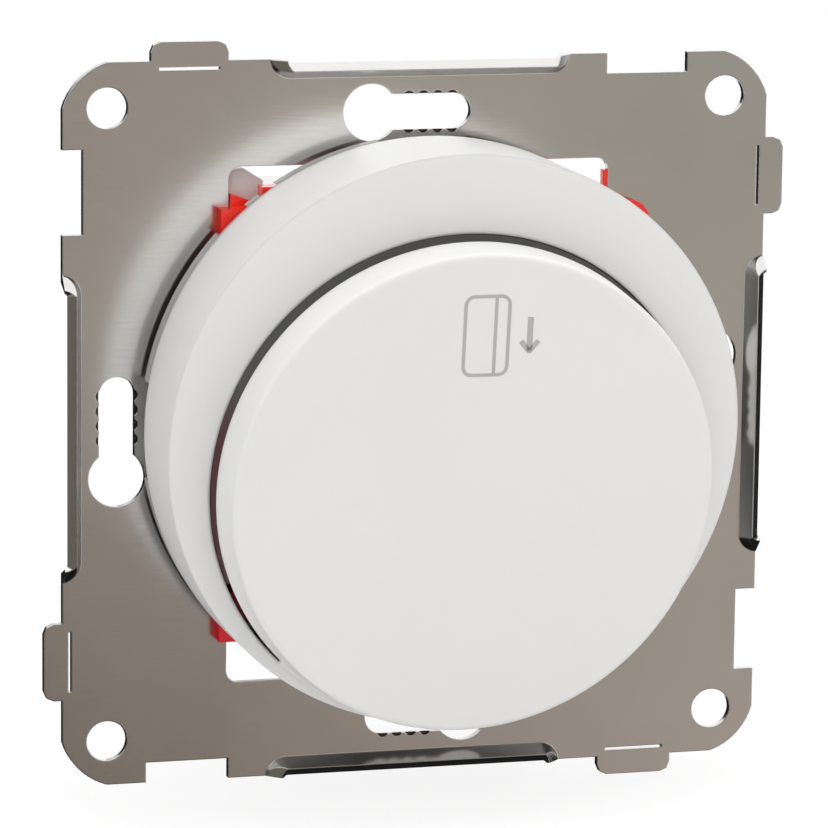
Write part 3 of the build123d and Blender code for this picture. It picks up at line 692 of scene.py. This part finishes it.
class KEYCARD_OT_symbol(bpy.types.Operator):
    """Print the plain card and arrow symbol on the disc"""

    bl_idname = "keycard.symbol"
    bl_label = "Card symbol"

    def execute(self, context):
        sizes = context.scene.keycard_sizes
        line = sizes.symbol_line / MM
        lift = sizes.symbol_lift
        ink = surface("Grey print", context.scene.keycard_colours.print_grey, 0.45, bump=0.01, soft=0.00001)
        bm = bmesh.new()
        outer = rounded_frame(CARD_LEFT, CARD_RIGHT, CARD_LOW, CARD_HIGH, CARD_CORNER)
        inner = rounded_frame(
            CARD_LEFT + line, CARD_RIGHT - line, CARD_LOW + line, CARD_HIGH - line, CARD_CORNER - line
        )
        count = len(outer)
        for index in range(count):
            after = (index + 1) % count
            film(bm, (outer[index], outer[after], inner[after], inner[index]), lift)
        film(bm, line_patch((STRIPE_X, CARD_LOW + line), (STRIPE_X, CARD_HIGH - line), line), lift)
        film(bm, line_patch((ARROW_X, ARROW_HIGH), (ARROW_X, ARROW_LOW), ARROW_LINE), lift)
        for high, low in BARB_ENDS:
            film(bm, line_patch((high, BARB_HIGH), (low, BARB_LOW), BARB_LINE), lift)
        bmesh.ops.remove_doubles(bm, verts=bm.verts, dist=1e-7)
        mesh_piece("face_symbol", bm, ink, "base")
        return {"FINISHED"}


# Trim on the insert
def insert_back():
    """Level of the insert's back, in millimetres."""
    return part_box("mechanism_housing")[1][1] / MM


def insert_trim(name, bm, smooth=False):
    """Trim in the insert's own surface."""
    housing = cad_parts["mechanism_housing"].data.materials[0]
    mesh_piece(name, bm, housing, "base", smooth)


def turned_ring(bm, x, z, outline):
    """Ring on the insert's back, turned about the Y axis through x and z."""
    back = insert_back()
    first = [bm.verts.new((x * MM + radius * MM, (back + rise) * MM, z * MM)) for radius, rise in outline]
    edges = [bm.edges.new(pair) for pair in zip(first, first[1:])]
    bmesh.ops.spin(
        bm, geom=first + edges, cent=(x * MM, 0, z * MM), axis=(0, 1, 0), angle=math.tau, steps=RING_STEPS,
        use_merge=True, use_duplicate=False,
    )


def soft_block(bm, low, high, radius):
    """Rounded bar from its two corners."""
    made = bmesh.ops.create_cube(bm, size=1.0)["verts"]
    size = [b - a for a, b in zip(low, high)]
    middle = [(a + b) / 2 for a, b in zip(low, high)]
    bmesh.ops.scale(bm, vec=[s * MM for s in size], verts=made)
    bmesh.ops.translate(bm, vec=[m * MM for m in middle], verts=made)
    edges = list({edge for vert in made for edge in vert.link_edges})
    bmesh.ops.bevel(
        bm, geom=edges, offset=radius * MM, segments=2, profile=0.5, affect="EDGES", material=-1,
        offset_type="OFFSET",
    )


class KEYCARD_OT_funnels(bpy.types.Operator):
    """Add the funnels round the wire entries"""

    bl_idname = "keycard.funnels"
    bl_label = "Entry funnels"

    def execute(self, context):
        bm = bmesh.new()
        for side in (-ENTRY_X, ENTRY_X):
            for offset in (-ENTRY_HALF_PITCH, ENTRY_HALF_PITCH):
                turned_ring(bm, side + offset, ENTRY_Z, FUNNEL_OUTLINE)
        insert_trim("entry_funnels", bm, smooth=True)
        return {"FINISHED"}


class KEYCARD_OT_grips(bpy.types.Operator):
    """Add the grip ribs on both sides of the insert"""

    bl_idname = "keycard.grips"
    bl_label = "Grip ribs"

    def execute(self, context):
        bm = bmesh.new()
        for row in range(GRIP_ROWS):
            z = GRIP_START + GRIP_PITCH * row
            for side in (-1, 1):
                x = side * HOUSING_HALF_X
                foot, top = sorted((x - side * GRIP_SINK, x + side * GRIP_RISE))
                soft_block(bm, (foot, GRIP_Y[0], z - GRIP_HALF), (top, GRIP_Y[1], z + GRIP_HALF), GRIP_ROUND)
        insert_trim("grip_ribs", bm)
        return {"FINISHED"}


class KEYCARD_OT_marks(bpy.types.Operator):
    """Add the ejector rings and the two rails on the insert's back"""

    bl_idname = "keycard.marks"
    bl_label = "Back marks"

    def execute(self, context):
        back = insert_back()
        bm = bmesh.new()
        for x in EJECTOR_X:
            for z in EJECTOR_Z:
                turned_ring(bm, x, z, EJECTOR_OUTLINE)
        for z in RAIL_Z:
            low = (-RAIL_HALF_X, back - RAIL_SINK, z - RAIL_HALF_Z)
            high = (RAIL_HALF_X, back + RAIL_RISE, z + RAIL_HALF_Z)
            soft_block(bm, low, high, RAIL_ROUND)
        insert_trim("back_marks", bm, smooth=True)
        return {"FINISHED"}


class KEYCARD_PT_panel(bpy.types.Panel):
    bl_label = "Key Card Switch"
    bl_idname = "KEYCARD_PT_panel"
    bl_space_type = "VIEW_3D"
    bl_region_type = "UI"
    bl_category = "Key Card Switch"

    def draw(self, context):
        for group in (context.scene.keycard_sizes, context.scene.keycard_colours):
            for name in group.bl_rna.properties.keys():
                if name not in ("rna_type", "name"):
                    self.layout.prop(group, name)
        for step in STEPS:
            self.layout.operator(step.bl_idname)


STEPS = (
    KEYCARD_OT_materials,
    KEYCARD_OT_symbol,
    KEYCARD_OT_funnels,
    KEYCARD_OT_grips,
    KEYCARD_OT_marks,
    KEYCARD_OT_stage,
)
CLASSES = (KeyCardSizes, KeyCardColours, *STEPS, KEYCARD_PT_panel)


def register():
    for made in CLASSES:
        bpy.utils.register_class(made)
    bpy.types.Scene.keycard_sizes = bpy.props.PointerProperty(type=KeyCardSizes)
    bpy.types.Scene.keycard_colours = bpy.props.PointerProperty(type=KeyCardColours)


def unregister():
    del bpy.types.Scene.keycard_colours
    del bpy.types.Scene.keycard_sizes
    for made in reversed(CLASSES):
        bpy.utils.unregister_class(made)


def main():
    register()
    bpy.ops.keycard.materials()
    bpy.ops.keycard.symbol()
    bpy.ops.keycard.funnels()
    bpy.ops.keycard.grips()
    bpy.ops.keycard.marks()
    bpy.ops.keycard.stage()


if __name__ == "__main__":
    main()
